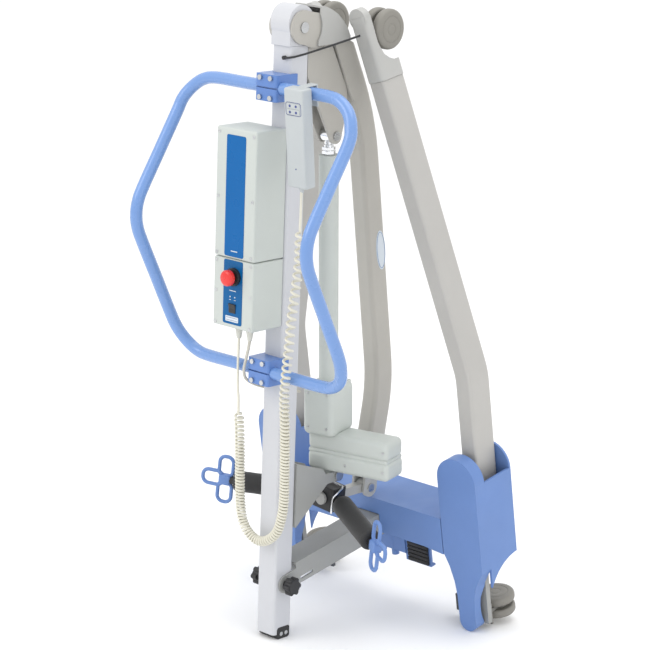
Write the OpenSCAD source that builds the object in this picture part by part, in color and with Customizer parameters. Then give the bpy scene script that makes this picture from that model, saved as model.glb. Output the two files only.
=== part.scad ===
// Electric patient lift hoist, folded and stood on end for storage.
// Units are millimetres and +Z is up. The mast is upright on the Z axis.
// -Y is the carer's side, with the push handle and the control box.
// +Y is the side of the folded base, and +X is the hoist's right.
// The base is drawn in a frame of its own, tilted back against the mast:
// its z runs along the legs and its y points to the floor when the hoist is in use.

/* [Mast] */
// Width of the square mast tube
mast_w = 50; // [44:1:56]
// Height of the mast tube's top edge
mast_top = 1211; // [1150:1:1260]
// Wall of the mast tube
mast_wall = 3; // [2:0.5:5]
// Height of the bolt that the boom turns on
boom_z = 1247; // [1200:1:1290]
// Height of the bolt that the mast folds on
fold_z = 117; // [100:1:140]

/* [Boom] */
// Width of the boom tube, across the hoist
boom_w = 40; // [34:1:48]
// Depth of the boom tube
boom_d = 52; // [44:1:60]
// Corner radius of the boom tube
boom_r = 9; // [4:1:12]

/* [Base] */
// Distance from the hoist's middle to each leg's pivot
leg_x = 255; // [230:1:280]
// Lean of the folded base, in degrees
base_lean = 11; // [8:0.5:14]
// Width of a leg tube
leg_w = 40; // [34:1:46]
// Depth of a leg tube
leg_d = 62; // [54:1:68]
// Inward bend of the legs, in degrees
leg_bend = 15; // [10:1:18]

/* [Castors] */
// Radius of every wheel
wheel_r = 40; // [36:1:44]
// Width of one wheel of a pair
wheel_w = 19; // [14:1:22]

/* [Handle] */
// Radius of the push handle's tube
grip_r = 12.5; // [11:0.5:15]
// Half the width of the push handle, to the tube's middle
grip_x = 232; // [210:1:250]

/* [Control box] */
// Width of the control box
box_w = 109; // [96:1:120]
// Depth of the control box
box_d = 84; // [70:1:90]
// Sideways place of the control box's middle
box_x = -32; // [-40:1:0]
// Height of the seam between the control case and the battery
seam_z = 797; // [770:1:820]

/* [Hidden] */
$fn = 48;
half = mast_w / 2;
front = -half;
box_front = front - box_d;
boom_y = 3;
fold_y = 3;
base_o = [0, 328, 350];
cast_z = 890;
cast_x = 73;
leg_straight = 598;
act_o = [0, 150, 318];
act_tilt = 2.76;
act_len = 706.8;
tip_y = 262;
tip_z = 266;
hang_y = 157;

// ---------- shared shapes ----------

// Rounded rectangle, w along x and d along y.
module rr(w, d, r) {
  square([w - 2 * r, d], center = true);
  square([w, d - 2 * r], center = true);
  for (i = [-1, 1], j = [-1, 1])
    translate([i * (w / 2 - r), j * (d / 2 - r)]) circle(r);
}

// Section of a tube.
module tube(w, d, r, wall) {
  difference() {
    rr(w, d, r);
    rr(w - 2 * wall, d - 2 * wall, r - wall);
  }
}

// Box with rounded edges along z.
module rbox(size, r) {
  linear_extrude(size[2]) rr(size[0], size[1], r);
}

// Box between two corners.
module span(a, b) {
  translate(a) cube(b - a);
}

// Cylinder between two points.
module rod(p, q, r) {
  v = q - p;
  translate(p)
    rotate([0, acos(v[2] / norm(v)), atan2(v[1], v[0])])
      cylinder(h = norm(v), r = r);
}

// Profile in y and z, drawn from x = a to x = b.
module side(a, b) {
  translate([a, 0, 0])
    multmatrix([[0, 0, 1, 0], [1, 0, 0, 0], [0, 1, 0, 0]])
      linear_extrude(b - a) children();
}

// Profile in x and z, drawn from y = a to y = b.
module face(a, b) {
  translate([0, b, 0]) rotate([90, 0, 0]) linear_extrude(b - a) children();
}

// Cylinder along x, y.
module xcyl(y, z, r, a, b) {
  translate([a, y, z]) rotate([0, 90, 0]) cylinder(h = b - a, r = r);
}
module ycyl(x, z, r, a, b) {
  translate([x, a, z]) rotate([-90, 0, 0]) cylinder(h = b - a, r = r);
}

// A tube's bend towards +y, with the section in x and y at its start.
module bend(r, angle) {
  multmatrix([[0, 0, -1, 0], [-1, 0, 0, r], [0, 1, 0, 0]])
    rotate_extrude(angle = angle) translate([r, 0]) rotate(90) children();
}

// Goes to the end of such a bend.
module after(r, angle) {
  translate([0, r - r * cos(angle), r * sin(angle)]) rotate([-angle, 0, 0]) children();
}

// Points on a smooth curve through the given ones, n to each step.
function at(p, i) = p[max(0, min(len(p) - 1, i))];
function spline(p, n) = [for (i = [0 : len(p) - 2], k = [0 : n - 1])
  let (t = k / n, a = at(p, i - 1), b = p[i], c = p[i + 1], d = at(p, i + 2))
  0.5 * (2 * b + (c - a) * t + (2 * a - 5 * b + 4 * c - d) * t * t
    + (3 * b - a - 3 * c + d) * t * t * t), p[len(p) - 1]];
function unit(v) = v / norm(v);

// Round cord along points, each with its own radius as a fourth number.
module cord(pts, n, ref) {
  m = len(pts);
  p = [for (q = pts) [q[0], q[1], q[2]]];
  ring = [for (i = [0 : m - 1])
    let (t = unit(at(p, i + 1) - at(p, i - 1)), s = unit(cross(t, ref)), u = cross(s, t))
    for (k = [0 : n - 1]) p[i] + pts[i][3] * (cos(360 * k / n) * s + sin(360 * k / n) * u)];
  walls = [for (i = [0 : m - 2], k = [0 : n - 1])
    [i * n + k, i * n + (k + 1) % n, (i + 1) * n + (k + 1) % n, (i + 1) * n + k]];
  ends = [[for (k = [n - 1 : -1 : 0]) k], [for (k = [0 : n - 1]) (m - 1) * n + k]];
  polyhedron(points = ring, faces = concat(walls, ends), convexity = 6);
}

// Closed round ring through points that go once round the y axis.
module ring(pts, n) {
  m = len(pts);
  p = [for (q = pts) [q[0], q[1], q[2]]];
  c = [for (i = [0 : m - 1])
    let (t = unit(p[(i + 1) % m] - p[(i + m - 1) % m]), s = unit(cross(t, [0, 1, 0])), u = cross(s, t))
    for (k = [0 : n - 1]) p[i] + pts[i][3] * (cos(360 * k / n) * s + sin(360 * k / n) * u)];
  walls = [for (i = [0 : m - 1], k = [0 : n - 1]) let (j = (i + 1) % m)
    [i * n + k, i * n + (k + 1) % n, j * n + (k + 1) % n, j * n + k]];
  polyhedron(points = c, faces = walls, convexity = 8);
}

// ---------- frames ----------

module base_at() {
  translate(base_o) rotate([base_lean, 0, 0]) children();
}
module mirrored(s) {
  scale([s, 1, 1]) children();
}
module leg_end() {
  translate([cast_x, 0, cast_z]) rotate([0, -leg_bend, 0]) children();
}
module act_at() {
  translate(act_o) rotate([act_tilt, 0, 0]) children();
}
module set_at() {
  translate([97, -50, 1133]) rotate([6, 0, 0]) children();
}
module bar_at() {
  translate([0, hang_y, tip_z]) rotate([0, 5, 0]) children();
}

// ---------- base ----------

module base_frame() {
  color([0.7, 0.7, 0.72]) base_at() {
    difference() {
      span([-222, -30, -165], [222, 20, -105]);
      span([-240, -26, -161], [240, 16, -109]);
      translate([0, -5, -170]) cylinder(h = 20, r = 8.05);
    }
    for (s = [-1, 1]) mirrored(s) difference() {
      union() {
        span([222, -44, -165], [290, -38, 24]);
        span([222, -44, -165], [228, 20, -105]);
        span([240, -44, -332], [284, -32, -165]);
        ycyl(262, -320, 14, -32, -28);
      }
      ycyl(leg_x, 0, 8.05, -60, 0);
      ycyl(262, -320, 6.05, -40, 0);
    }
  }
}

module base_cover() {
  color([0.42, 0.55, 0.82]) base_at() difference() {
    face(-76, 34) polygon([[-203, -96], [203, -96], [203, -178], [150, -173],
      [-150, -173], [-203, -178]]);
    face(-71, 40) polygon([[-230, -101], [230, -101], [230, -169], [-230, -169]]);
    span([-30, -90, -190], [30, -29.5, -131]);
    span([-16, -80, -190], [16, 40, -150]);
  }
}

// Outline of a housing's front: round ear, body and the arm above the castor.
module housing_outline(g) {
  translate([leg_x, 0]) circle(50 - g);
  translate([leg_x, -320.7]) circle(21 - g);
  polygon([[205 + g, 0], [205 + g, -174 + g], [218 + g, -200], [228 + g, -232],
    [233 + g, -265], [234 + g, -320.7], [276 - g, -320.7], [278 - g, -265],
    [285 - g, -232], [305 - g, -196], [305 - g, 0]]);
}

module housing(s) {
  color([0.42, 0.55, 0.82]) base_at() mirrored(s) {
    difference() {
      union() {
        face(-76, -46) housing_outline(0);
        span([205, -46, -245], [305, 38, 0]);
        ycyl(leg_x, 0, 50, 33, 38);
      }
      face(-71, -40) housing_outline(5);
      span([210, -46, -250], [300, 33, 60]);
      span([196, -46, -96], [212, 34, -170]);
      translate([190, 38, -285]) rotate([0, 90, 0]) cylinder(h = 130, r = 95);
      span([190, -46, -260], [206, 40, -174]);
      ycyl(leg_x, 0, 9, 30, 40);
      span([204, -46, -167.5], [211, 33, -96]);
    }
    ycyl(leg_x, 0, 16, -71, -54);
  }
}
module housing_right() { housing(1); }
module housing_left() { housing(-1); }

module link_channel() {
  color([0.75, 0.76, 0.77]) base_at() difference() {
    union() {
      span([-29, -330, -136], [29, -30.2, -133]);
      for (s = [-1, 1]) mirrored(s) {
        span([25.6, -330, -182], [29, -30.2, -133]);
        xcyl(fold_l[1], fold_l[2], 19, 25.6, 29);
        side(25.6, 29) polygon([[fold_l[1], fold_l[2] - 18.5], [-326, -181],
          [-326, -145], [fold_l[1], fold_l[2] + 18.5]]);
      }
    }
    xcyl(fold_l[1], fold_l[2], 8.05, -40, 40);
    span([20, -318, -174], [40, -286, -168]);
    translate([0, -318, -171]) rotate([0, 90, 0]) cylinder(h = 40, r = 3);
    translate([0, -286, -171]) rotate([0, 90, 0]) cylinder(h = 40, r = 3);
  }
}
// The fold bolt's place in the base's own frame.
fold_l = let (dy = fold_y - base_o[1], dz = fold_z - base_o[2])
  [0, dy * cos(base_lean) + dz * sin(base_lean), dz * cos(base_lean) - dy * sin(base_lean)];

module leg_bolts() {
  color([0.8, 0.8, 0.8]) base_at() for (s = [-1, 1]) mirrored(s) {
    ycyl(leg_x, 0, 8, -46, 38);
    ycyl(leg_x, 0, 13, 38, 45);
    ycyl(leg_x, 0, 12, -52, -46);
  }
}

module pedal_rocker() {
  color([0.45, 0.58, 0.84]) base_at() {
    translate([0, -5, -263]) cylinder(h = 111, r = 8);
    difference() {
      union() {
        span([-36, -12, -250], [36, 2, -218]);
        for (s = [-1, 1]) mirrored(s) {
          span([34, -9, -266], [104, -3, -204]);
          span([34, -3, -266], [104, 5, -262]);
        }
      }
      translate([0, -5, -268]) cylinder(h = 100, r = 7.9);
    }
  }
}

module pedal_treads() {
  color([0.12, 0.12, 0.13]) base_at() for (s = [-1, 1]) mirrored(s) {
    difference() {
      span([44, -14, -262], [100, -9, -210]);
      for (k = [0 : 4]) span([42, -15, -254 + 9 * k], [102, -12, -251 + 9 * k]);
    }
  }
}

module leg(s) {
  color([0.78, 0.77, 0.76]) base_at() mirrored(s) difference() {
    union() {
      translate([leg_x, 0, -30]) rotate([0, 0, 90]) {
        linear_extrude(221) tube(leg_d, leg_w, 6, 3);
        translate([0, 0, 221]) {
          bend(150, leg_bend) tube(leg_d, leg_w, 6, 3);
          after(150, leg_bend) linear_extrude(leg_straight) tube(leg_d, leg_w, 6, 3);
        }
      }
      ycyl(leg_x, 0, 13, -37.5, 32.6);
    }
    ycyl(leg_x, 0, 8.05, -60, 60);
  }
}
module leg_right() { leg(1); }
module leg_left() { leg(-1); }

module leg_cap(s) {
  color([0.8, 0.8, 0.78]) base_at() mirrored(s) difference() {
    leg_end() {
      translate([0, 0, -85]) rbox([leg_w + 4, leg_d + 4, 130], 9);
      translate([0, 0, -125]) rbox([leg_w - 6.6, leg_d - 6.6, 41], 2.5);
      translate([0, leg_d / 2 + 1, 42]) rotate([90, 0, 0])
        cylinder(h = leg_d + 2, r = leg_w / 2 + 1.5);
    }
    leg_end() span([-40, -15.5, -6], [40, 60, 90]);
    translate([cast_x, 0, cast_z]) rotate([-90, 0, 0]) rotate_extrude()
      polygon([[0, -16], [24, -16], [42, -8], [51, 3], [56, 14], [57, 60], [0, 60]]);
    ycyl(cast_x, cast_z, 6.05, -26, 60);
  }
}
module leg_cap_right() { leg_cap(1); }
module leg_cap_left() { leg_cap(-1); }

// ---------- castors, with the stem at the origin and the wheels' axle along x ----------

module fork(top, down, back) {
  color([0.5, 0.5, 0.47]) {
    ycyl(0, 0, 6, -top, down - wheel_r - 2);
    span([-4, down - wheel_r - 2.8, -5], [4, down, 8]);
    translate([-4, down, back]) rotate([0, 90, 0]) cylinder(h = 8, r = 26);
    xcyl(down, back, 6, -wheel_w, wheel_w);
  }
}

// Hood above a rear castor, with the ears that carry the brake lever.
module hood() {
  color([0.5, 0.5, 0.47]) {
    ycyl(0, 0, 11, -27.7, -20);
    span([-24, -24.5, -14], [24, -20.5, 22]);
    for (s = [-1, 1]) mirrored(s)
      side(12.4, 15.4) polygon([[-24.5, 10], [-20.5, 10], [-14, 31], [-14, 38], [-20, 38], [-24.5, 22]]);
    xcyl(-17, 34, 2.5, -15.4, 15.4);
  }
}

module wheels(down, back) {
  color([0.58, 0.56, 0.52]) for (s = [-1, 1]) mirrored(s) {
    difference() {
      union() {
        xcyl(down, back, wheel_r, 7, wheel_w + 1);
        xcyl(down, back, wheel_r - 3, wheel_w + 1, wheel_w + 4);
        xcyl(down, back, wheel_r - 3, 4.6, 7);
      }
      xcyl(down, back, 6.05, 0, wheel_w + 0.5);
      translate([wheel_w + 2.6, down, back]) rotate([0, 90, 0]) difference() {
        cylinder(h = 4, r = 26);
        cylinder(h = 12, r = 23.5, center = true);
      }
    }
  }
}

module front_at(s) {
  base_at() mirrored(s) translate([cast_x, 0, cast_z]) children();
}
module rear_at(s) {
  base_at() mirrored(s) translate([262, 0, -320]) rotate([0, -90, 0]) children();
}
module fork_front_right() { front_at(1) fork(25, 27, 10); }
module fork_front_left() { front_at(-1) fork(25, 27, 10); }
module fork_rear(s) {
  rear_at(s) {
    fork(40, 26, 15);
    hood();
  }
}
module fork_rear_right() { fork_rear(1); }
module fork_rear_left() { fork_rear(-1); }
module wheels_front_right() { front_at(1) wheels(27, 10); }
module wheels_front_left() { front_at(-1) wheels(27, 10); }
module wheels_rear_right() { rear_at(1) wheels(26, 15); }
module wheels_rear_left() { rear_at(-1) wheels(26, 15); }

module brake(s) {
  color([0.32, 0.33, 0.34]) rear_at(s) difference() {
    union() {
      span([-10, -19, 34], [10, -15, 62]);
      span([-19, -22, 60], [19, -15, 84]);
      xcyl(-17, 34, 5, -12, 12);
    }
    xcyl(-17, 34, 2.55, -20, 20);
  }
}
module brake_right() { brake(1); }
module brake_left() { brake(-1); }

// ---------- mast ----------

module mast_tube() {
  color([0.8, 0.8, 0.82]) difference() {
    translate([0, 0, 11]) rbox([mast_w, mast_w, mast_top - 11], 6);
    translate([0, 0, 5])
      rbox([mast_w - 2 * mast_wall, mast_w - 2 * mast_wall, mast_top], 4);
    xcyl(fold_y, fold_z, 8.05, -40, 40);
    for (s = [-1, 1]) mirrored(s)
      translate([4.5, 3, 12.5]) rotate([0, 90, 0]) rbox([25.6, 36.6, 30], 6.3);
  }
}

module mast_head() {
  color([0.84, 0.84, 0.86]) difference() {
    union() {
      side(-half, half) {
        translate([boom_y - 1, 1255]) circle(35);
        translate([-half - 4, mast_top + 0.3]) square([half + 30, 44]);
      }
      translate([0, 0, mast_top - 40]) rbox([43.4, 43.4, 41], 3.6);
    }
    xcyl(boom_y, boom_z, 8.05, -40, 40);
  }
}

module foot_blocks() {
  color([0.1, 0.1, 0.1]) {
    span([-6, -8, 0], [6, 14, 6]);
    for (s = [-1, 1]) mirrored(s) difference() {
      translate([4.8, 3, 12.5]) rotate([0, 90, 0]) rbox([25, 36, 20.4], 6);
      for (y = [-2, 12]) {
        xcyl(y, 10, 3.05, 8, 40);
        xcyl(y, 10, 4.6, 21.9, 40);
      }
    }
  }
}

module gusset() {
  color([0.76, 0.77, 0.78]) difference() {
    union() {
      span([-28, 25.2, 232], [28, 29, 366]);
      for (s = [-1, 1]) mirrored(s) {
        side(24, 28) polygon([[28, 232], [28, 366], [104, 340], [112, 328], [150, 328],
          [150, 306], [118, 306]]);
        xcyl(act_o[1], act_o[2], 12, 24, 28);
      }
    }
    xcyl(act_o[1], act_o[2], 8.05, -40, 40);
  }
}

module mast_pins() {
  color([0.78, 0.79, 0.8]) {
    xcyl(fold_y, fold_z, 8, -36, 36);
    xcyl(act_o[1], act_o[2], 8, -28, 28);
    for (s = [-1, 1]) mirrored(s) xcyl(act_o[1], act_o[2], 11, 28.1, 32);
  }
}

// Middle of the push handle's tube, from the top bar round the right side.
grip = [[0, -50, 1133], [150, -50, 1133], [183, -53, 1127], [209, -58, 1110],
  [226, -68, 1086], [grip_x, -80, 1056], [grip_x, -168, 914], [grip_x, -180, 888],
  [grip_x, -184, 862], [grip_x, -180, 836], [grip_x, -168, 808], [grip_x, -88, 652],
  [227, -72, 618], [213, -59, 592], [190, -52, 575], [160, -50, 569], [0, -50, 569]];

module push_handle() {
  side_pts = [for (p = spline(grip, 2)) [p[0], p[1], p[2], grip_r]];
  n = len(side_pts);
  other = [for (i = [n - 2 : -1 : 1]) [-side_pts[i][0], side_pts[i][1], side_pts[i][2], grip_r]];
  color([0.42, 0.55, 0.86]) ring(concat(side_pts, other), 16);
}

module handle_clamps() {
  color([0.42, 0.55, 0.86]) difference() {
    union() {
      for (z = [1133, 569]) {
        translate([0, -50, z - 26]) rbox([58, 33, 52], 6);
        span([-29, -50, z - 26], [29, front - 0.2, z + 26]);
        for (s = [-1, 1]) mirrored(s)
          span([half + 0.2, front - 1, z - 26], [half + 4, front + 16, z + 26]);
      }
    }
    for (z = [1133, 569]) {
      translate([-60, -50, z]) rotate([0, 90, 0]) cylinder(h = 120, r = grip_r + 0.05);
      span([-40, -90, z - 1.5], [40, -62.5, z + 1.5]);
      for (s = [-1, 1]) {
        ycyl(-14, z + s * 19, 3.1, -70, -20);
        ycyl(14, z + s * 19, 3.1, -70, -20);
      }
    }
  }
}

module mast_screws() {
  color([0.82, 0.83, 0.84]) {
    for (x = [-14, 14], z = [1114, 1152, 550, 588]) {
      ycyl(x, z, 3, -68, -28);
      ycyl(x, z, 5, -71, -66.7);
    }
    for (s = [-1, 1], y = [-2, 12]) mirrored(s) {
      xcyl(y, 10, 3, 8.5, 22.2);
      xcyl(y, 10, 4.5, 22, 25);
    }
    for (x = [box_x - 47, box_x + 47], z = [664, 728, seam_z - 8])
      ycyl(x, z, 3.2, box_front - 1, box_front + 1.5);
  }
}

module star_knob(s) {
  color([0.1, 0.1, 0.1]) mirrored(s) difference() {
    union() {
      xcyl(fold_y, fold_z, 15, 37, 54);
      xcyl(fold_y, fold_z, 9, 29.4, 37);
      for (k = [0 : 5]) xcyl(fold_y + 14 * cos(60 * k), fold_z + 14 * sin(60 * k), 5.5, 39, 53);
    }
    xcyl(fold_y, fold_z, 8.05, 20, 36.5);
  }
}
module star_knob_right() { star_knob(1); }
module star_knob_left() { star_knob(-1); }

// ---------- control box ----------

module control_case() {
  color([0.88, 0.9, 0.9]) difference() {
    translate([box_x, front - box_d / 2 - 0.2, 658]) rbox([box_w, box_d, seam_z - 659], 7);
    translate([box_x, front - box_d / 2, 662]) rbox([box_w - 8, box_d - 8, seam_z - 666], 4);
    ycyl(box_x + 3, 762, 9.05, box_front - 5, box_front + 6);
    span([box_x - 9.6, box_front - 5, 688.4], [box_x + 9.6, box_front + 6, 707.6]);
    translate([box_x - 22, front - 42, 650]) cylinder(h = 20, r = 8.05);
    translate([box_x + 8, front - 42, 650]) cylinder(h = 20, r = 8.05);
    for (x = [box_x - 47, box_x + 47], z = [664, 728, seam_z - 8])
      ycyl(x, z, 3.25, box_front - 5, box_front + 1.5);
  }
}

module control_panel() {
  color([0.03, 0.25, 0.5]) difference() {
    span([box_x - 26, box_front - 0.8, 666], [box_x + 26, box_front - 0.25, seam_z - 3]);
    ycyl(box_x + 3, 762, 18.3, box_front - 5, box_front + 6);
    span([box_x - 13.2, box_front - 5, 684.5], [box_x + 13.2, box_front + 6, 711.5]);
  }
}

module estop_collar() {
  color([0.08, 0.08, 0.08]) difference() {
    union() {
      ycyl(box_x + 3, 762, 18, box_front - 8, box_front - 0.3);
      ycyl(box_x + 3, 762, 9, box_front - 0.3, box_front + 4);
    }
    ycyl(box_x + 3, 762, 6.05, box_front - 20, box_front + 10);
  }
}

module estop_button() {
  color([0.85, 0.08, 0.07]) {
    ycyl(box_x + 3, 762, 6, box_front - 14, box_front + 3);
    translate([box_x + 3, box_front - 13, 762]) rotate([90, 0, 0]) rotate_extrude()
      polygon([[0, 0], [15, 0], [16, 2], [16, 8], [14, 11], [9, 13], [0, 14]]);
  }
}

module power_switch() {
  color([0.06, 0.06, 0.06]) {
    xcyl(box_front + 2, 698, 2, box_x - 9.4, box_x + 9.4);
    side(box_x - 9, box_x + 9) polygon([[box_front - 2, 689], [box_front + 5, 689],
      [box_front + 5, 707], [box_front - 4, 707], [box_front - 2, 698]]);
  }
}

module battery_case() {
  color([0.88, 0.9, 0.9]) difference() {
    union() {
      translate([box_x, front - box_d / 2 - 0.2, seam_z])
        rbox([box_w, box_d, 1053 - seam_z], 7);
      translate([box_x, front - box_d / 2 + 18, seam_z + 30]) rbox([box_w + 2, 4, 200], 1.5);
    }
    translate([box_x, front - box_d / 2, seam_z + 4])
      rbox([box_w - 8, box_d - 8, 1053 - seam_z - 8], 4);
    for (x = [box_x - 47, box_x + 47], z = [seam_z + 8, 916, 1043])
      ycyl(x, z, 3, box_front - 5, box_front + 1.2);
  }
}

module battery_panel() {
  color([0.03, 0.4, 0.72])
    span([box_x - 26, box_front - 0.8, seam_z + 4], [box_x + 26, box_front - 0.25, 1040]);
}

module cable_plugs() {
  color([0.85, 0.85, 0.82]) for (x = [box_x - 22, box_x + 8]) {
    translate([x, front - 42, 646]) cylinder(h = 20, r = 8);
    translate([x, front - 42, 628]) cylinder(h = 18, r1 = 4.5, r2 = 7.5);
  }
}

module actuator_lead() {
  color([0.75, 0.74, 0.72])
    cord(spline([[-24, -67, 627.6, 3], [-25, -69, 612, 3], [-29, -71, 590, 3],
      [-35, -70, 566, 3], [-40, -58, 545, 3], [-38, -34, 530, 3], [-36, 0, 518, 3],
      [-34, 35, 508, 3], [-30, 68, 500, 3], [-28, 86, 496, 3]], 4), 8, [0, 0.6, 0.8]);
}

module handset_cord() {
  color([0.88, 0.87, 0.8])
    cord(spline([[97, -59.5, 952.4, 3], [97, -60, 930, 3], [99, -62, 900, 3], [101, -65, 872, 5],
      [102, -66, 856, 10], [103, -67, 807, 10], [99, -70, 753, 10], [94, -73, 699, 10],
      [92, -75, 650, 10], [88, -76, 600, 10], [80, -72, 540, 10], [69, -56, 462, 10],
      [64, -48, 388, 10], [62, -45, 325, 10], [58, -44.5, 284, 10], [45, -44.5, 244, 10],
      [19, -44.5, 219, 10], [-9, -44.5, 212, 10], [-36, -45, 224, 10], [-53, -45, 248, 10],
      [-59, -46, 285, 10], [-60, -48, 332, 10], [-60, -50, 387, 10], [-60, -53, 438, 10],
      [-59, -56, 460, 9], [-56, -61, 480, 3], [-51, -67, 505, 3], [-51, -70, 530, 3],
      [-54, -68, 570, 3], [-54, -67, 627.6, 3]], 3), 10, [0, 1, 0]);
}

// ---------- handset, hung on the push handle's top bar ----------

module handset_case() {
  color([0.84, 0.85, 0.85]) set_at() difference() {
    union() {
      translate([0, -28, -178]) rbox([50, 28, 194], 5);
      span([-10, -16, 12.8], [10, 18, 16]);
      span([-10, 13.5, -28], [10, 18, 14]);
    }
    span([-17.2, -50, -34.2], [17.2, -38, -11.8]);
    translate([0, -28, -172]) rbox([44, 22, 130], 4);
  }
}

module handset_rocker() {
  color([0.75, 0.82, 0.9]) set_at() union() {
    span([-17, -43, -34], [17, -39, -12]);
  }
}

// ---------- elastic cord that holds the folded legs ----------

module elastic_cord() {
  color([0.08, 0.08, 0.08])
    cord([[14.4, -28.5, 1189, 2.2], [24, -28.4, 1190.5, 2.2], [30, -21, 1192, 2.2],
      [38, 0, 1197, 2.2], [60, 60, 1214, 2.2], [82, 107, 1230.2, 2.2]], 8, [0, 0, 1]);
}

module cord_knobs() {
  color([0.08, 0.08, 0.08]) {
    translate([-half - 5, -8, 1190]) sphere(5);
    xcyl(-8, 1190, 2.5, -half - 4, -half - 0.1);
    ycyl(10, 1189, 4, -31, -25.2);
  }
}

// ---------- boom ----------

module boom_tube() {
  color([0.74, 0.73, 0.71]) difference() {
    translate([0, 118, 1240]) rotate([206, 0, 0]) {
      linear_extrude(126.8) tube(boom_w, boom_d, boom_r, 3);
      translate([0, 0, 126.8]) {
        bend(557, 17.3) tube(boom_w, boom_d, boom_r, 3);
        after(557, 17.3) {
          linear_extrude(430) tube(boom_w, boom_d, boom_r, 3);
          translate([0, 0, 430]) {
            bend(337, 18.7) tube(boom_w, boom_d, boom_r, 3);
            after(337, 18.7) linear_extrude(128) tube(boom_w, boom_d, boom_r, 3);
          }
        }
      }
    }
    xcyl(boom_y, boom_z, 90, -50, 50);
    side(-50, 50) polygon([[40, 1300], [200, 1300], [200, 1204], [160, 1206],
      [127, 1220], [40, 1220]]);
  }
}

module boom_root() {
  color([0.72, 0.72, 0.71]) difference() {
    union() {
      for (s = [-1, 1]) mirrored(s) {
        xcyl(boom_y, boom_z, 33, 25.4, 31);
        side(25.4, 31) polygon([[boom_y, boom_z + 33], [60, 1270], [100, 1254], [124, 1222],
          [124, 1212], [27, 1206], [boom_y - 4, boom_z - 32]]);
        side(20.2, 25.4) polygon([[62, 1256], [96, 1240], [136, 1212], [182, 1108],
          [176, 1090], [160, 1090], [148, 1106], [100, 1206], [62, 1212]]);
        side(14, 20) polygon([[28, 1210], [94, 1210], [142, 1118], [146, 1090],
          [136, 1040], [128, 1012], [104, 1012], [92, 1034], [28, 1150]]);
        xcyl(116, 1024, 16, 14, 20);
      }
      span([-31, 62, 1204], [31, 68, 1252]);
    }
    xcyl(boom_y, boom_z, 8.05, -60, 60);
    xcyl(116, 1024, 6.05, -60, 60);
  }
}

module root_cover() {
  color([0.76, 0.76, 0.75]) difference() {
    side(-35, 35) polygon([[46, 1286], [58, 1285], [76, 1278], [94, 1268], [110, 1254],
      [122, 1240], [131, 1224], [132, 1213], [40, 1209]]);
    side(-31.3, 31.3) polygon([[30, 1300], [46, 1282], [57, 1281], [74, 1274], [92, 1264],
      [107, 1251], [119, 1237], [127, 1222], [127, 1200], [30, 1200]]);
    xcyl(boom_y, boom_z, 47, -60, 60);
    span([-26.2, 90, 1200], [26.2, 140, 1221.5]);
  }
}

module boom_pins() {
  color([0.72, 0.73, 0.74]) {
    xcyl(boom_y, boom_z, 8, -31, 31);
    for (s = [-1, 1]) mirrored(s) {
      xcyl(boom_y, boom_z, 10.5, 31.1, 34);
      xcyl(116, 1024, 9, 20.1, 24);
    }
    xcyl(116, 1024, 6, -20, 20);
    xcyl(tip_y, tip_z, 6, -21, 21);
    xcyl(tip_y, tip_z, 9, 18.1, 21);
  }
}

module boom_tip() {
  color([0.82, 0.82, 0.82]) difference() {
    union() {
      for (s = [-1, 1]) mirrored(s) {
        xcyl(tip_y, tip_z, 20, 12, 18);
        side(12, 18) polygon([[tip_y - 18, tip_z + 8], [244.6, 304], [286, 296.8],
          [tip_y + 19, tip_z + 2]]);
      }
      translate([0, 265.2, 305.4]) rotate([170, 0, 0]) translate([0, 0, 0.3])
        rbox([boom_w, boom_d, 6], 8);
    }
    xcyl(tip_y, tip_z, 6.05, -60, 60);
  }
}

// ---------- spreader bar ----------

module spreader_hanger() {
  color([0.8, 0.8, 0.8]) difference() {
    union() {
      xcyl(tip_y, tip_z, 16, -11.6, 11.6);
      span([-10, hang_y + 26, tip_z - 9], [10, tip_y - 8, tip_z + 9]);
      ycyl(0, tip_z, 14, hang_y + 21, hang_y + 30);
      ycyl(0, tip_z, 8, hang_y - 24, hang_y + 26);
      ycyl(0, tip_z, 13, hang_y - 30, hang_y - 24);
    }
    xcyl(tip_y, tip_z, 6.05, -60, 60);
  }
}

module spreader_frame() {
  color([0.1, 0.1, 0.1]) bar_at() difference() {
    union() {
      translate([0, -2, -24]) rbox([56, 42, 50], 6);
      for (s = [-1, 1]) rod([s * 20, 0, 0], [s * 205, -88, -15], 9);
    }
    ycyl(0, 0, 8.05, -60, 60);
    ycyl(0, 0, 13.3, -60, -23.2);
  }
}

module spreader_pads() {
  color([0.09, 0.09, 0.09]) bar_at() for (s = [-1, 1]) difference() {
    rod([s * 44.5, -11.6, -1.95], [s * 194, -82.8, -14.1], 22);
    rod([s * 20, 0, 0], [s * 205, -88, -15], 9.3);
    translate([0, -2, -30]) rbox([57, 43, 60], 6);
  }
}

module spreader_bail() {
  color([0.85, 0.86, 0.87]) bar_at() {
    cord([[31, -26, -24, 2.2], [31, -26, 6, 2.2], [31, -23, 12, 2.2], [31, 0, 26, 2.2],
      [28, 4, 29, 2.2], [-28, 4, 29, 2.2], [-31, 0, 26, 2.2], [-31, -23, 12, 2.2],
      [-31, -26, 6, 2.2], [-31, -26, -24, 2.2]], 10, [0, 1, 0.3]);
  }
}

// One sling loop: a long ring standing out along z.
module loop() {
  rotate([90, 0, 0]) translate([0, 28, -4]) linear_extrude(8) difference() {
    rr(38, 52, 17);
    rr(23, 37, 9.5);
  }
}

module sling_hooks() {
  color([0.45, 0.6, 0.88]) bar_at() for (s = [-1, 1]) difference() {
    translate([s * 214, -92, -15.6]) rotate([0, 0, s * -25.5]) {
      span([-13, -10, -11], [13, 10, 11]);
      rotate([0, s * 90, 0]) loop();
      loop();
      mirror([0, 0, 1]) loop();
    }
    rod([s * 20, 0, 0], [s * 206, -88.5, -15.1], 9.05);
  }
}

// ---------- actuator ----------

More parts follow.
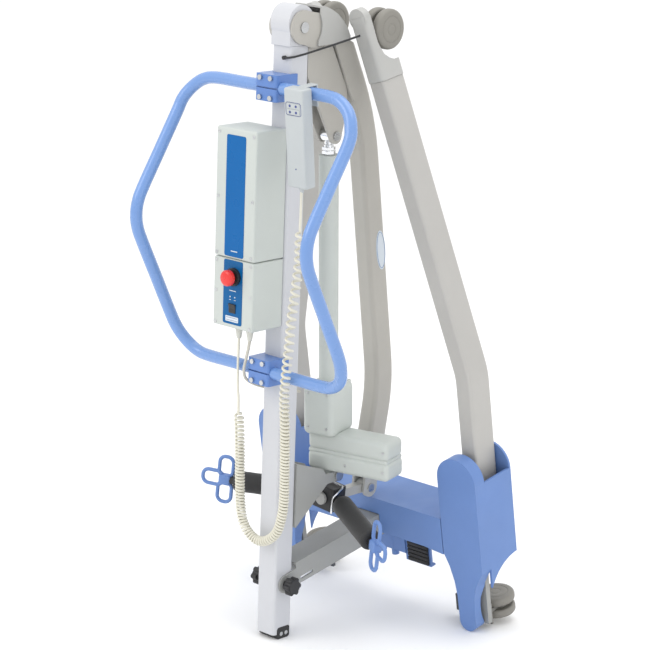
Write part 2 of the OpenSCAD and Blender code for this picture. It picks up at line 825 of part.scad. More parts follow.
module motor_case() {
  color([0.88, 0.88, 0.86]) act_at() {
    rotate([0, 0, 12]) difference() {
      union() {
        translate([64, 0, 14]) rbox([190, 68, 41], 9);
        translate([64, 0, 55.5]) rbox([188, 66, 41], 9);
        translate([2, -4, 96.5]) rbox([74, 88, 100], 8);
      }
      translate([0, 0, 60]) cylinder(h = 200, r = 20.3);
      translate([92, 0, 20]) rbox([100, 50, 68], 6);
    }
    difference() {
      union() {
        xcyl(0, 0, 14, -23.4, 23.4);
        span([-23.4, -14, 0], [23.4, 14, 14]);
      }
      xcyl(0, 0, 8.05, -40, 40);
    }
  }
}

module actuator_tube() {
  color([0.86, 0.86, 0.85]) act_at() difference() {
    translate([0, 0, 60.3]) cylinder(h = 607, r = 20);
    translate([0, 0, 66]) cylinder(h = 590, r = 15);
    translate([0, 0, 640]) cylinder(h = 60, r = 10.05);
  }
}

module actuator_rod() {
  color([0.85, 0.86, 0.88]) act_at()
    translate([0, 0, 180]) cylinder(h = 508, r = 10);
}

module rod_end() {
  color([0.85, 0.86, 0.88]) act_at() difference() {
    union() {
      translate([0, 0, 688]) cylinder(h = 8, r = 8);
      xcyl(0, act_len, 13, -11, 11);
      translate([0, 0, 669]) cylinder(h = 7, r = 14, $fn = 6);
      translate([0, 0, 677.5]) cylinder(h = 6, r = 14, $fn = 6);
    }
    xcyl(0, act_len, 7.5, -40, 40);
    translate([0, 0, 660]) cylinder(h = 28, r = 10);
  }
}

// ---------- what is shown ----------

base_frame();
base_cover();
housing_right();
housing_left();
link_channel();
leg_bolts();
pedal_rocker();
pedal_treads();
leg_right();
leg_left();
leg_cap_right();
leg_cap_left();
fork_front_right();
fork_front_left();
fork_rear_right();
fork_rear_left();
wheels_front_right();
wheels_front_left();
wheels_rear_right();
wheels_rear_left();
brake_right();
brake_left();
mast_tube();
mast_head();
foot_blocks();
gusset();
mast_pins();
push_handle();
handle_clamps();
mast_screws();
star_knob_right();
star_knob_left();
control_case();
control_panel();
estop_collar();
estop_button();
power_switch();
battery_case();
battery_panel();
cable_plugs();
actuator_lead();
handset_cord();
handset_case();
handset_rocker();
elastic_cord();
cord_knobs();
boom_tube();
boom_root();
root_cover();
boom_pins();
boom_tip();
spreader_hanger();
spreader_frame();
spreader_pads();
spreader_bail();
sling_hooks();
motor_case();
actuator_tube();
actuator_rod();
rod_end();
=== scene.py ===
import math

import bmesh
import bpy
from mathutils import Matrix, Vector


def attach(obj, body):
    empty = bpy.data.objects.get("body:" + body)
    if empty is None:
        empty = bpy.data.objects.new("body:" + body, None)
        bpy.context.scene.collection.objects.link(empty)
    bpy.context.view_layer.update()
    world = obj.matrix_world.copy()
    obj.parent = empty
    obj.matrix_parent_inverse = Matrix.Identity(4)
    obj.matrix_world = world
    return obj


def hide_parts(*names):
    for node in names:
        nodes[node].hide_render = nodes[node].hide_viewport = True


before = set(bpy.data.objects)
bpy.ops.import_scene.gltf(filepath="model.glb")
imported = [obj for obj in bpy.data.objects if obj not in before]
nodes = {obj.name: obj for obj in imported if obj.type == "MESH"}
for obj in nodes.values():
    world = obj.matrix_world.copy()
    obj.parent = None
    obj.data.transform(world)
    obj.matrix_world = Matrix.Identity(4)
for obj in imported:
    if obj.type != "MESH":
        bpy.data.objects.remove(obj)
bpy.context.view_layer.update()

scene = bpy.context.scene

# ---------- frames, as in the part's source, in metres ----------

MM = 0.001
BASE = Matrix.Translation((0, 0.328, 0.350)) @ Matrix.Rotation(math.radians(11), 4, "X")
HAND = Matrix.Translation((0.097, -0.050, 1.133)) @ Matrix.Rotation(math.radians(6), 4, "X")
BAR = Matrix.Translation((0, 0.157, 0.266)) @ Matrix.Rotation(math.radians(5), 4, "Y")
BOX_X = -0.032
BOX_FRONT = -0.1092


# ---------- camera, floor and light ----------

def camera():
    az, el, roll = math.radians(42.757), math.radians(13.769), math.radians(1.984)
    forward = Vector((-math.sin(az) * math.cos(el), math.cos(az) * math.cos(el), -math.sin(el)))
    side = Vector((math.cos(az), math.sin(az), 0))
    up = side.cross(forward)
    right = side * math.cos(roll) + up * math.sin(roll)
    top = -side * math.sin(roll) + up * math.cos(roll)
    data = bpy.data.cameras.new("camera")
    data.angle = math.radians(15.27)
    data.clip_end = 60
    cam = bpy.data.objects.new("camera", data)
    scene.collection.objects.link(cam)
    turn = Matrix((right, top, -forward)).transposed().to_4x4()
    cam.matrix_world = Matrix.Translation((3.23273, -3.37211, 1.80136)) @ turn
    scene.camera = cam


def area(name, place, target, size, power, colour=(1, 1, 1)):
    data = bpy.data.lights.new(name, "AREA")
    data.shape = "DISK"
    data.size = size
    data.energy = power
    data.color = colour
    lamp = bpy.data.objects.new(name, data)
    scene.collection.objects.link(lamp)
    lamp.location = place
    lamp.rotation_euler = (Vector(target) - Vector(place)).to_track_quat("-Z", "Y").to_euler()


def studio():
    world = bpy.data.worlds.new("studio")
    world.use_nodes = True
    back = world.node_tree.nodes["Background"]
    back.inputs[0].default_value = (1.0, 1.0, 1.0, 1)
    back.inputs[1].default_value = 1.1
    scene.world = world
    area("key", (-1.6, -3.4, 3.2), (0, 0, 0.7), 2.6, 46, (1.0, 0.985, 0.965))
    area("fill", (3.8, -0.6, 2.0), (0, 0.1, 0.6), 2.6, 9, (0.96, 0.98, 1.0))
    area("top", (0.4, 0.6, 3.6), (0, 0.1, 0.5), 2.2, 22)
    mesh = bpy.data.meshes.new("floor")
    mesh.from_pydata([(-14, -14, 0), (14, -14, 0), (14, 14, 0), (-14, 14, 0)], [], [(0, 1, 2, 3)])
    floor = bpy.data.objects.new("floor", mesh)
    scene.collection.objects.link(floor)
    mat = bpy.data.materials.new("floor")
    mat.use_nodes = True
    shader = mat.node_tree.nodes["Principled BSDF"]
    shader.inputs["Base Color"].default_value = (0.97, 0.97, 0.97, 1)
    shader.inputs["Roughness"].default_value = 0.75
    mesh.materials.append(mat)
    scene.view_settings.view_transform = "Standard"


camera()
studio()


# ---------- materials ----------

def finish(name, colour, rough=0.45, metal=0.0, grain=900.0, bump=0.12, mottle=0.06,
           edge=0.10, edge_highlight_colour=None, coat=0.0, sheen=0.0, spec=0.5, round_edge=0.0012, streak=None):
    """A material with colour variation, fine grain, uneven gloss and rounded edges lightened by a painted highlight."""
    mat = bpy.data.materials.new(name)
    mat.use_nodes = True
    tree = mat.node_tree
    new, link = tree.nodes.new, tree.links.new
    shader = tree.nodes["Principled BSDF"]
    shader.inputs["Metallic"].default_value = metal
    shader.inputs["Specular IOR Level"].default_value = spec
    shader.inputs["Coat Weight"].default_value = coat
    shader.inputs["Coat Roughness"].default_value = 0.18
    shader.inputs["Sheen Weight"].default_value = sheen
    place = new("ShaderNodeTexCoord")
    stretch = new("ShaderNodeMapping")
    stretch.inputs["Scale"].default_value = streak or (1, 1, 1)
    link(place.outputs["Object"], stretch.inputs["Vector"])

    def noise(scale, detail=3.0, source=stretch.outputs["Vector"]):
        n = new("ShaderNodeTexNoise")
        n.inputs["Scale"].default_value = scale
        n.inputs["Detail"].default_value = detail
        link(source, n.inputs["Vector"])
        return n.outputs["Fac"]

    def spread(value, low, high, a=0.3, b=0.7):
        m = new("ShaderNodeMapRange")
        m.inputs["From Min"].default_value = a
        m.inputs["From Max"].default_value = b
        m.inputs["To Min"].default_value = low
        m.inputs["To Max"].default_value = high
        link(value, m.inputs["Value"])
        return m.outputs["Result"]

    def mix(amount, a, b):
        m = new("ShaderNodeMix")
        m.data_type = "RGBA"
        link(amount, m.inputs["Factor"])
        for value, socket in ((a, m.inputs["A"]), (b, m.inputs["B"])):
            if isinstance(value, tuple):
                socket.default_value = (*value, 1)
            else:
                link(value, socket)
        return m.outputs["Result"]

    dark = tuple(c * (1 - mottle) for c in colour)
    light = tuple(min(1, c * (1 + mottle * 0.6)) for c in colour)
    body = mix(spread(noise(9.0), 0, 1), dark, light)
    body = mix(spread(noise(70.0, 5.0), 0, 0.35), body, dark)
    bevel = new("ShaderNodeBevel")
    bevel.samples = 4
    bevel.inputs["Radius"].default_value = round_edge
    geometry = new("ShaderNodeNewGeometry")
    dot = new("ShaderNodeVectorMath")
    dot.operation = "DOT_PRODUCT"
    link(bevel.outputs["Normal"], dot.inputs[0])
    link(geometry.outputs["Normal"], dot.inputs[1])
    # Painted highlight: along rounded edges, where the bevelled normal turns away from the face, the colour is mixed
    # towards a lighter one. edge sets how much.
    rim = spread(dot.outputs["Value"], edge, 0.0, 0.80, 0.99)
    body = mix(rim, body, edge_highlight_colour or tuple(min(1, c * 1.25 + 0.05) for c in colour))
    link(body, shader.inputs["Base Color"])
    link(spread(noise(28.0, 4.0), max(0.03, rough - 0.06), min(1, rough + 0.07)), shader.inputs["Roughness"])
    fine = new("ShaderNodeBump")
    fine.inputs["Strength"].default_value = bump
    fine.inputs["Distance"].default_value = 0.0004
    link(noise(grain, 2.0), fine.inputs["Height"])
    link(bevel.outputs["Normal"], fine.inputs["Normal"])
    link(fine.outputs["Normal"], shader.inputs["Normal"])
    return mat


MAT = {
    "mast": finish("mast_paint", (0.56, 0.57, 0.60), 0.36, coat=0.15, bump=0.07, mottle=0.03),
    # Cap grey: its own grey darkened by about a quarter, which is partly painted shade from the shadow on the leg caps
    # and root cover.
    "cap": finish("cap_grey_with_painted_shade", (0.43, 0.43, 0.415), 0.40, coat=0.1, bump=0.08, mottle=0.03),
    "boom": finish("boom_paint", (0.43, 0.415, 0.38), 0.40, coat=0.1, bump=0.08, mottle=0.04),
    "leg": finish("leg_paint", (0.44, 0.43, 0.41), 0.36, coat=0.15, bump=0.07, mottle=0.04),
    "base": finish("base_paint", (0.34, 0.345, 0.335), 0.42, bump=0.09, mottle=0.05),
    "blue": finish("handle_paint", (0.15, 0.285, 0.60), 0.26, coat=0.5, bump=0.03, mottle=0.03, edge=0.06),
    "clamp": finish("clamp_paint", (0.10, 0.21, 0.52), 0.36, coat=0.2, bump=0.08, mottle=0.05),
    "shell": finish("blue_moulding", (0.13, 0.235, 0.52), 0.46, bump=0.14, mottle=0.05, grain=1300),
    "white": finish("white_moulding", (0.52, 0.555, 0.53), 0.46, bump=0.16, mottle=0.03, grain=1300),
    "hand": finish("handset_moulding", (0.47, 0.50, 0.51), 0.42, bump=0.14, mottle=0.03, grain=1300),
    "stripe": finish("panel_film", (0.002, 0.115, 0.36), 0.3, spec=0.2, bump=0.03, mottle=0.04),
    "stripe_dark": finish("panel_film_dark", (0.003, 0.105, 0.30), 0.3, spec=0.2, bump=0.03, mottle=0.04),
    "print": finish("panel_print", (0.62, 0.68, 0.74), 0.4, bump=0.03),
    "line": finish("key_outline", (0.05, 0.07, 0.25), 0.5, bump=0.03),
    "black": finish("black_moulding", (0.018, 0.018, 0.020), 0.42, bump=0.16, mottle=0.2, edge=0.05),
    "rubber": finish("black_rubber", (0.016, 0.016, 0.017), 0.66, bump=0.3, mottle=0.25,
                     edge=0.04, sheen=0.15),
    "castor": finish("castor_moulding", (0.21, 0.205, 0.19), 0.45, bump=0.12, mottle=0.06),
    "tread": finish("castor_tread", (0.235, 0.225, 0.20), 0.52, bump=0.16, mottle=0.08, edge=0.05),
    "chrome": finish("chrome", (0.83, 0.84, 0.86), 0.10, metal=1.0, bump=0.02,
                     mottle=0.02, edge=0.03, grain=300),
    "steel": finish("zinc_steel", (0.56, 0.57, 0.58), 0.30, metal=1.0, bump=0.12, mottle=0.08, grain=500,
                    streak=(1, 1, 6)),
    "red": finish("red_button", (0.72, 0.016, 0.012), 0.28, coat=0.4, bump=0.04, mottle=0.05, edge=0.05),
    "key": finish("rocker_key", (0.22, 0.33, 0.58), 0.38, bump=0.06, mottle=0.04),
    "cord": finish("cord_jacket", (0.70, 0.68, 0.58), 0.46, bump=0.06, mottle=0.05, edge=0.0, sheen=0.05),
    "lead": finish("lead_jacket", (0.54, 0.52, 0.46), 0.46, bump=0.06, mottle=0.06, edge=0.0),
    "elastic": finish("elastic_braid", (0.02, 0.02, 0.022), 0.7, bump=0.6, mottle=0.3, grain=700,
                      edge=0.0, sheen=0.3, streak=(1, 3, 3)),
    "brake": finish("brake_moulding", (0.06, 0.065, 0.07), 0.45, bump=0.14, mottle=0.1),
    "dark": finish("dark_gap", (0.03, 0.03, 0.03), 0.7, bump=0.1),
    "plug": finish("plug_moulding", (0.60, 0.60, 0.55), 0.48, bump=0.1, mottle=0.04),
}


# ---------- mesh helpers ----------

def add(name, mesh, mat, body, place=None, smooth=True):
    if place is not None:
        mesh.transform(place)
    piece = bpy.data.objects.new(name, mesh)
    scene.collection.objects.link(piece)
    mesh.materials.append(MAT[mat])
    if smooth:
        mesh.shade_smooth()
        mesh.set_sharp_from_angle(angle=math.radians(38))
    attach(piece, body)
    return piece


def from_bmesh(name, bm):
    mesh = bpy.data.meshes.new(name)
    bm.normal_update()
    bm.to_mesh(mesh)
    bm.free()
    return mesh


def box_into(bm, low, high, r, steps=4, edges=None):
    """Adds a box with rounded edges. edges="y" rounds only those along y."""
    part = bmesh.new()
    bmesh.ops.create_cube(part, size=1)
    size = [high[i] - low[i] for i in range(3)]
    mid = [(high[i] + low[i]) / 2 for i in range(3)]
    for v in part.verts:
        v.co = Vector([mid[i] + v.co[i] * size[i] for i in range(3)])
    pick = list(part.edges)
    if edges:
        k = "xyz".index(edges)
        pick = [e for e in part.edges if abs((e.verts[0].co - e.verts[1].co)[k]) > 1e-6]
    bmesh.ops.bevel(part, geom=pick, offset=r, segments=steps, profile=0.5, affect="EDGES")
    mesh = from_bmesh("part", part)
    bm.from_mesh(mesh)
    bpy.data.meshes.remove(mesh)


def lathe_into(bm, profile, place, turns=64):
    """Adds a turned shape. profile is (along, radius) pairs, turned about the local z axis."""
    rings = []
    for along, radius in profile:
        if radius < 1e-6:
            rings.append([bm.verts.new(place @ Vector((0, 0, along)))])
            continue
        rings.append([bm.verts.new(place @ Vector((radius * math.cos(t), radius * math.sin(t), along)))
                      for t in (2 * math.pi * k / turns for k in range(turns))])
    for a, b in zip(rings, rings[1:]):
        for k in range(turns):
            j = (k + 1) % turns
            quad = [a[k % len(a)], a[j % len(a)], b[j % len(b)], b[k % len(b)]]
            face = []
            for v in quad:
                if v not in face:
                    face.append(v)
            if len(face) > 2:
                bm.faces.new(face)


def to_axis(origin, direction):
    return Matrix.Translation(origin) @ Vector(direction).to_track_quat("Z", "Y").to_matrix().to_4x4()


def curve_through(points, closed=False, steps=6):
    """Catmull-Rom points through the given ones."""
    n = len(points)
    out = []
    last = n if closed else n - 1
    for i in range(last):
        def at(k):
            return Vector(points[k % n]) if closed else Vector(points[max(0, min(n - 1, k))])
        a, b, c, d = at(i - 1), at(i), at(i + 1), at(i + 2)
        for k in range(steps):
            t = k / steps
            out.append(0.5 * (2 * b + (c - a) * t + (2 * a - 5 * b + 4 * c - d) * t * t
                              + (3 * b - a - 3 * c + d) * t ** 3))
    if not closed:
        out.append(Vector(points[-1]))
    return out


def cable(name, points, radius, mat, closed=False, detail=4):
    data = bpy.data.curves.new(name, "CURVE")
    data.dimensions = "3D"
    data.bevel_depth = radius
    data.bevel_resolution = detail
    data.use_fill_caps = True
    line = data.splines.new("POLY")
    line.points.add(len(points) - 1)
    for p, q in zip(line.points, points):
        p.co = (*q, 1)
    line.use_cyclic_u = closed
    line.use_smooth = True
    data.materials.append(MAT[mat])
    piece = bpy.data.objects.new(name, data)
    scene.collection.objects.link(piece)
    return piece


# ---------- cords ----------

# Each point is x, y, z, whether the cord is coiled there, and the coil's pitch, in millimetres.
HANDSET_ROUTE = [
    (97, -59.5, 952.4, 0, 11), (97, -60, 930, 0, 11), (99, -62, 900, 0, 11), (101, -65, 872, 0, 16),
    (102, -66, 856, 1, 16), (103, -67, 807, 1, 16), (99, -70, 753, 1, 16), (94, -73, 699, 1, 16),
    (92, -75, 650, 1, 15.5), (88, -76, 600, 1, 14), (80, -72, 540, 1, 12), (69, -56, 462, 1, 8),
    (64, -48, 388, 1, 6.8), (62, -45, 325, 1, 6.6), (58, -44.5, 284, 1, 6.6), (45, -44.5, 244, 1, 6.6),
    (19, -44.5, 219, 1, 6.6), (-9, -44.5, 212, 1, 6.6), (-36, -45, 224, 1, 6.6), (-53, -45, 248, 1, 6.6),
    (-59, -46, 285, 1, 6.6), (-60, -48, 332, 1, 6.6), (-60, -50, 387, 1, 7), (-60, -53, 438, 1, 9),
    (-59, -56, 460, 1, 10), (-56, -61, 480, 0, 10), (-51, -67, 505, 0, 10), (-51, -70, 530, 0, 10),
    (-54, -68, 570, 0, 10), (-54, -67, 627.6, 0, 10)]


def curly(route, coil_r, per_turn):
    """Centreline of a curly cord laid along the route."""
    line = [p * MM for p in curve_through([p[:3] for p in route], steps=24)]
    state = curve_through([(p[3], p[4], 0) for p in route], steps=24)
    wound = [max(0.0, min(1.0, p.x)) for p in state]
    out = []
    phase = 0.0
    axis = Vector((0, 1, 0))
    for i in range(len(line) - 1):
        a, b = line[i], line[i + 1]
        ahead = line[min(i + 2, len(line) - 1)] - line[max(i - 1, 0)]
        along = ahead.normalized()
        side = along.cross(axis).normalized()
        other = side.cross(along)
        step = (b - a).length
        pitch = state[i].y * MM
        n = max(1, round(step / pitch * per_turn)) if wound[i] > 0.02 else 1
        for k in range(n):
            t = k / n
            w = wound[i] + (wound[i + 1] - wound[i]) * t
            centre = a.lerp(b, t)
            r = coil_r * w * w * (3 - 2 * w)
            out.append(centre + r * (math.cos(phase) * side + math.sin(phase) * other))
            phase += 2 * math.pi * step / n / pitch
    out.append(line[-1])
    return out


coil_points = curly(HANDSET_ROUTE, 0.0078, 18)
handset_cord = cable("handset_cord_curl", coil_points, 0.0026, "cord", detail=3)
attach(handset_cord, "mast")
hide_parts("handset_cord")

LEAD_ROUTE = [(-24, -67, 627.6), (-25, -69, 612), (-29, -71, 590), (-35, -70, 566), (-40, -58, 545),
              (-38, -34, 530), (-36, 0, 518), (-34, 35, 508), (-30, 68, 500), (-28, 86, 496)]
lead_points = [p * MM for p in curve_through(LEAD_ROUTE, steps=4)]
lead = cable("actuator_lead_line", lead_points, 0.003, "lead")
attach(lead, "mast")
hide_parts("actuator_lead")

ELASTIC_ROUTE = [(14.4, -28.5, 1189), (24, -28.4, 1190.5), (30, -21, 1192), (38, 0, 1197), (60, 60, 1214),
                 (82, 107, 1230.2)]
elastic_points = [Vector(p) * MM for p in ELASTIC_ROUTE]
elastic = cable("elastic_line", elastic_points, 0.0022, "elastic")
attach(elastic, "mast")
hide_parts("elastic_cord")


# ---------- push handle ----------

GRIP = [(0, -50, 1133), (75, -50, 1133), (150, -50, 1133), (183, -53, 1127), (209, -58, 1110),
        (226, -68, 1086), (232, -80, 1056), (232, -124, 985), (232, -168, 914), (232, -180, 888), (232, -184, 862),
        (232, -180, 836), (232, -168, 808), (232, -128, 730), (232, -88, 652), (227, -72, 618),
        (213, -59, 592), (190, -52, 575), (160, -50, 569), (80, -50, 569), (0, -50, 569)]
ring = GRIP + [(-x, y, z) for x, y, z in reversed(GRIP[1:-1])]
handle = cable("push_handle_tube", [p * MM for p in curve_through(ring, closed=True, steps=5)], 0.0125,
               "blue", closed=True, detail=7)
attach(handle, "mast")
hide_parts("push_handle")


# ---------- castors ----------

# Half section of one wheel, along its axle and out from it, in millimetres.
WHEEL = [
    (4.6, 6.3), (4.6, 24), (5.4, 25), (5.4, 33), (4.6, 34.5), (5.2, 37.2), (7.5, 39.2), (10, 40),
    (17, 40), (19.6, 39.2), (21.8, 37.4), (22.8, 34.6), (23, 31), (23, 27.4), (22.5, 26.8), (22.1, 26.2),
    (22.1, 25.4), (22.6, 24.8), (22.9, 23.8), (22.9, 12.2), (22.6, 11.6), (22.2, 11.2), (22.2, 10.4), (22.6, 9.8),
    (22.8, 6), (22.9, 0)]


def wheel_pair(name, node, body, centre, axle):
    bm = bmesh.new()
    for s in (1, -1):
        place = to_axis(BASE @ (Vector(centre) * MM), (BASE.to_3x3() @ Vector(axle)) * s)
        lathe_into(bm, [(a * MM, r * MM) for a, r in WHEEL], place, 72)
    bmesh.ops.recalc_face_normals(bm, faces=bm.faces)
    piece = add(name, from_bmesh(name, bm), "tread", body)
    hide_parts(node)


for s, side in ((1, "right"), (-1, "left")):
    q = side[0]
    wheel_pair("wheels_front_turned_" + side, "wheels_front_" + side, "wheels_front_" + q,
               (73 * s, 27, 900), (1, 0, 0))
    wheel_pair("wheels_rear_turned_" + side, "wheels_rear_" + side, "wheels_rear_" + q,
               (247 * s, 26, -320), (0, 0, 1))


# ---------- control box and battery ----------

def cases():
    lo, hi = BOX_X - 0.0545, BOX_X + 0.0545
    bm = bmesh.new()
    box_into(bm, (lo, BOX_FRONT, 0.658), (hi, -0.0252, 0.7958), 0.004, 4)
    piece = add("control_case_shell", from_bmesh("control_case_shell", bm), "white", "mast")
    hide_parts("control_case")
    bm = bmesh.new()
    box_into(bm, (lo, BOX_FRONT, 0.797), (hi, -0.0252, 1.053), 0.004, 4)
    piece = add("battery_case_shell", from_bmesh("battery_case_shell", bm), "white",
                "battery")
    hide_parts("battery_case")


def screw_into(bm, place, r):
    lathe_into(bm, [(-0.001, r), (0.0004, r), (0.0009, r * 0.9), (0.0011, r * 0.55), (0.0004, r * 0.5),
                    (0.0004, 0)], place, 28)


def plate(name, low, high, r, mat, body, node=None):
    bm = bmesh.new()
    box_into(bm, low, high, r, 4, "y")
    piece = add(name, from_bmesh(name, bm), mat, body)
    if node:
        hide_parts(node)
    return piece


cases()
plate("battery_panel_film", (BOX_X - 0.026, BOX_FRONT - 0.0006, 0.801),
      (BOX_X + 0.026, BOX_FRONT + 0.0002, 1.040), 0.004, "stripe", "battery", "battery_panel")
plate("control_panel_film", (BOX_X - 0.026, BOX_FRONT - 0.0006, 0.666),
      (BOX_X + 0.026, BOX_FRONT + 0.0002, 0.794), 0.004, "stripe_dark", "mast", "control_panel")


def panel_marks():
    """Plain marks without lettering: short bars, two lamp rings and a blank label."""
    def mark(bm, x0, x1, z0, z1, r=0.0004):
        box_into(bm, (BOX_X + x0, BOX_FRONT - 0.0011, z0), (BOX_X + x1, BOX_FRONT - 0.0005, z1), r, 2, "y")

    bm = bmesh.new()
    mark(bm, -0.008, 0.010, 0.811, 0.813)
    add("battery_mark", from_bmesh("battery_mark", bm), "print", "battery")
    bm = bmesh.new()
    mark(bm, -0.009, 0.009, 0.7325, 0.7342)
    for x in (-0.008, 0.005):
        mark(bm, x, x + 0.003, 0.7195, 0.7225, 0.0012)
        mark(bm, x - 0.001, x + 0.004, 0.7145, 0.7157)
    mark(bm, -0.018, 0.017, 0.671, 0.682, 0.001)
    add("panel_lines", from_bmesh("panel_lines", bm), "print", "mast")
    bm = bmesh.new()
    mark(bm, -0.0155, 0.0145, 0.6736, 0.6742, 0.0002)
    mark(bm, -0.0155, 0.0145, 0.6788, 0.6794, 0.0002)
    for v in bm.verts:
        v.co.y -= 0.0002
    add("panel_label_lines", from_bmesh("panel_label_lines", bm), "line", "mast")
    bm = bmesh.new()
    for x in (BOX_X - 0.047, BOX_X + 0.047):
        for z in (0.805, 0.916, 1.043):
            screw_into(bm, to_axis((x, BOX_FRONT - 0.0002, z), (0, -1, 0)), 0.0034)
    add("battery_screws", from_bmesh("battery_screws", bm), "steel", "battery")


panel_marks()


# ---------- emergency stop ----------

def estop():
    bm = bmesh.new()
    profile = [(-0.003, 0.006), (0.013, 0.006), (0.0131, 0.0146), (0.0141, 0.0156), (0.0155, 0.016),
               (0.021, 0.016), (0.0235, 0.0153), (0.0252, 0.0137), (0.0262, 0.0108), (0.0268, 0.006), (0.027, 0)]
    lathe_into(bm, profile, to_axis((BOX_X + 0.003, BOX_FRONT, 0.762), (0, -1, 0)), 64)
    bmesh.ops.recalc_face_normals(bm, faces=bm.faces)
    piece = add("estop_mushroom", from_bmesh("estop_mushroom", bm), "red", "estop")
    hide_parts("estop_button")


estop()


# ---------- handset ----------

def handset():
    bm = bmesh.new()
    box_into(bm, (-0.025, -0.042, -0.178), (0.025, -0.014, 0.016), 0.0045, 5)
    box_into(bm, (-0.0215, -0.0405, -0.1775), (0.0215, -0.0155, -0.150), 0.004, 3)
    box_into(bm, (-0.010, -0.018, 0.0129), (0.010, 0.018, 0.016), 0.0012, 3)
    box_into(bm, (-0.010, 0.0136, -0.028), (0.010, 0.018, 0.015), 0.0014, 3)
    lathe_into(bm, [(0.0005, 0), (0.0005, 0.0052), (-0.004, 0.0050), (-0.011, 0.0034), (-0.0113, 0.0021)],
               Matrix.Translation((0, -0.028, -0.1775)), 32)
    piece = add("handset_shell", from_bmesh("handset_shell", bm), "hand", "handset", HAND)
    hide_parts("handset_case")
    bm = bmesh.new()
    for lo, hi in ((-0.0225, -0.012), (-0.034, -0.0235)):
        box_into(bm, (-0.0165, -0.0434, lo), (0.0165, -0.0405, hi), 0.0012, 3)
    piece = add("handset_keys", from_bmesh("handset_keys", bm), "hand", "rocker", HAND)
    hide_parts("handset_rocker")
    bm = bmesh.new()
    for z in (-0.017, -0.029):
        for x in (-0.008, 0.008):
            lathe_into(bm, [(0.0, 0.0), (0.0, 0.0026), (0.0004, 0.0026), (0.0004, 0)],
                       Matrix.Translation((x, -0.0434, z)) @ Matrix.Rotation(math.pi / 2, 4, "X"), 20)
    add("handset_signs", from_bmesh("handset_signs", bm), "line", "rocker", HAND)
    outline = []
    for cx, cz, start in ((0.0145, -0.0155, 0), (-0.0145, -0.0155, 90), (-0.0145, -0.0305, 180),
                          (0.0145, -0.0305, 270)):
        for k in range(7):
            t = math.radians(start + 15 * k)
            outline.append(HAND @ Vector((cx + 0.005 * math.cos(t), -0.0421, cz + 0.005 * math.sin(t))))
    edge = cable("handset_outline", outline, 0.0005, "line", closed=True, detail=2)
    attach(edge, "handset")
    bm = bmesh.new()
    lathe_into(bm, [(-0.001, 0.0016), (0.0003, 0.0016), (0.0006, 0.001), (0.0006, 0)],
               HAND @ Matrix.Translation((0.0, -0.042, -0.140)) @ Matrix.Rotation(math.pi / 2, 4, "X"), 20)
    add("handset_lamp", from_bmesh("handset_lamp", bm), "line", "handset")


handset()


# ---------- spreader ----------

def loop_path(place):
    """Centreline of one sling loop, a rounded rectangle in local x and z."""
    out = []
    for cx, cz, start in ((2, 37, 0), (-2, 37, 90), (-2, 19, 180), (2, 19, 270)):
        for k in range(9):
            t = math.radians(start + 90 * k / 8)
            out.append(place @ (Vector((cx + 13.25 * math.cos(t), 0, cz + 13.25 * math.sin(t))) * MM))
    return out


def hooks():
    first = None
    for s, side in ((1, "right"), (-1, "left")):
        local = (BAR @ Matrix.Translation(Vector((s * 214, -92, -15.6)) * MM)
                 @ Matrix.Rotation(math.radians(s * -25.5), 4, "Z"))
        bm = bmesh.new()
        box_into(bm, (-0.013, -0.010, -0.011), (0.013, 0.010, 0.011), 0.004, 4)
        block = add("hook_block_" + side, from_bmesh("hook_block_" + side, bm), "shell",
                    "spreader", local)
        for name, turn in (("out", Matrix.Rotation(math.radians(s * 90), 4, "Y")), ("up", Matrix.Identity(4)),
                           ("down", Matrix.Scale(-1, 4, (0, 0, 1)))):
            loop = cable("sling_loop_" + name + "_" + side, loop_path(local @ turn), 0.0040, "shell",
                         closed=True, detail=5)
            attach(loop, "spreader")
        first = first or block
    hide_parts("sling_hooks")


def pads():
    first = None
    for s, side in ((1, "right"), (-1, "left")):
        a = BAR @ (Vector((s * 44.5, -11.6, -1.95)) * MM)
        b = BAR @ (Vector((s * 194, -82.8, -14.1)) * MM)
        size = (b - a).length
        place = to_axis(a, b - a)
        r = 0.0220
        profile = [(0.0, 0.0095), (0.0, r * 0.72), (0.001, r * 0.85), (0.003, r * 0.95), (0.006, r)]
        profile += [(0.006 + (size - 0.012) * k / 12, r * (1 - 0.012 * (k % 2))) for k in range(1, 12)]
        profile += [(size - 0.006, r), (size - 0.003, r * 0.95), (size - 0.001, r * 0.85), (size, r * 0.72),
                    (size, 0.0095)]
        bm = bmesh.new()
        lathe_into(bm, profile, place, 48)
        pad = add("spreader_sleeve_" + side, from_bmesh("spreader_sleeve_" + side, bm), "rubber",
                  "spreader")
        first = first or pad
    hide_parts("spreader_pads")


def bail():
    path = [(31, -26, -24), (31, -26, 6), (31, -23, 12), (31, 0, 26), (28, 4, 29), (-28, 4, 29), (-31, 0, 26),
            (-31, -23, 12), (-31, -26, 6), (-31, -26, -24)]
    wire = cable("spreader_wire", [BAR @ (Vector(p) * MM) for p in path], 0.0022, "chrome")
    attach(wire, "spreader")
    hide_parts("spreader_bail")


hooks()
pads()
bail()


# ---------- motor case ----------

ACT = Matrix.Translation((0, 0.150, 0.318)) @ Matrix.Rotation(math.radians(2.76), 4, "X")


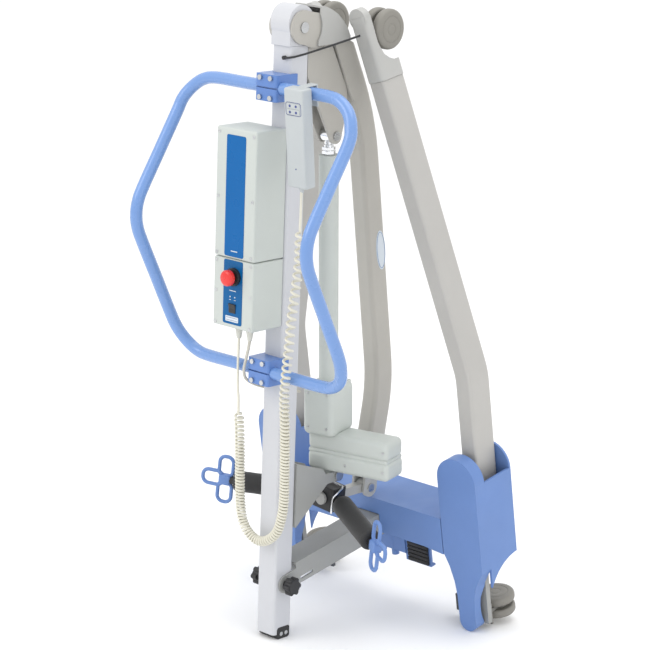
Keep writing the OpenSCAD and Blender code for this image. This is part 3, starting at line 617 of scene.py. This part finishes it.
def motor():
    turned = ACT @ Matrix.Rotation(math.radians(12), 4, "Z")
    bm = bmesh.new()
    box_into(bm, (-0.031, -0.034, 0.014), (0.159, 0.034, 0.0548), 0.011, 6)
    box_into(bm, (-0.0305, -0.0335, 0.0556), (0.158, 0.0335, 0.0965), 0.012, 6)
    box_into(bm, (-0.029, -0.032, 0.05), (0.156, 0.032, 0.06), 0.004, 3)
    box_into(bm, (-0.035, -0.048, 0.0905), (0.039, 0.040, 0.1965), 0.014, 6)
    box_into(bm, (-0.030, -0.043, 0.190), (0.034, 0.035, 0.1975), 0.003, 3)
    lathe_into(bm, [(0.190, 0.0225), (0.199, 0.0225), (0.201, 0.0205)], Matrix.Identity(4), 40)
    shell = from_bmesh("motor_shell", bm)
    piece = add("motor_shell", shell, "white", "actuator", turned)
    bm = bmesh.new()
    lathe_into(bm, [(-0.0234, 0.0083), (-0.0234, 0.0135), (-0.0225, 0.014), (0.0225, 0.014), (0.0234, 0.0135),
                    (0.0234, 0.0083)], to_axis((0, 0, 0), (1, 0, 0)), 40)
    box_into(bm, (-0.0232, -0.013, 0.003), (0.0232, 0.013, 0.016), 0.001, 2)
    add("motor_lug", from_bmesh("motor_lug", bm), "white", "actuator", ACT)
    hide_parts("motor_case")
    bm = bmesh.new()
    for x, y, z in ((-0.020, -0.0482, 0.110), (0.024, -0.0482, 0.110), (-0.020, -0.0482, 0.182),
                    (0.024, -0.0482, 0.182), (0.148, -0.0342, 0.035), (0.148, -0.0337, 0.076), (0.060, -0.0342, 0.035)):
        screw_into(bm, turned @ to_axis((x, y, z), (0, -1, 0)), 0.0028)
    add("motor_screws", from_bmesh("motor_screws", bm), "steel", "actuator")


motor()


# ---------- oval plate on the boom's side ----------

def oval():
    bm = bmesh.new()
    place = (Matrix.Translation((0.0201, 0.262, 0.775)) @ Matrix.Rotation(math.radians(8.6), 4, "X")
             @ Matrix.Rotation(math.pi / 2, 4, "Y"))
    lathe_into(bm, [(0.0, 0.0135), (0.0006, 0.0135), (0.0008, 0.0130), (0.0008, 0)], Matrix.Identity(4), 56)
    plate_mesh = from_bmesh("boom_oval_plate", bm)
    plate_mesh.transform(Matrix.Diagonal((3.1, 1.0, 1.0, 1.0)))
    add("boom_oval_plate", plate_mesh, "print", "boom", place)
    rim = [place @ Vector((0.0385 * math.cos(t), 0.0115 * math.sin(t), 0.0009))
           for t in (2 * math.pi * k / 48 for k in range(48))]
    line = cable("boom_oval_line", rim, 0.0004, "stripe", closed=True, detail=2)
    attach(line, "boom")


oval()


# ---------- finishes of the nodes that stay ----------

KEEP = {
    "mast": ["mast_tube", "mast_head"],
    "cap": ["leg_cap_right", "leg_cap_left", "root_cover", "boom_tip", "spreader_hanger"],
    "boom": ["boom_tube", "boom_root"],
    "leg": ["leg_right", "leg_left"],
    "base": ["base_frame", "link_channel", "gusset"],
    "clamp": ["handle_clamps"],
    "shell": ["base_cover", "housing_right", "housing_left", "pedal_rocker"],
    "white": ["actuator_tube"],
    "plug": ["cable_plugs"],
    "black": ["star_knob_right", "star_knob_left", "power_switch", "estop_collar", "cord_knobs",
              "spreader_frame"],
    "rubber": ["foot_blocks", "pedal_treads"],
    "castor": ["fork_front_right", "fork_front_left", "fork_rear_right", "fork_rear_left"],
    "chrome": ["actuator_rod", "rod_end"],
    "steel": ["leg_bolts", "mast_pins", "mast_screws", "boom_pins"],
    "brake": ["brake_right", "brake_left"],
}
for mat, names in KEEP.items():
    for n in names:
        slots = nodes[n].material_slots
        if not slots:
            nodes[n].data.materials.append(MAT[mat])
        for k in range(len(slots)):
            slots[k].material = MAT[mat]
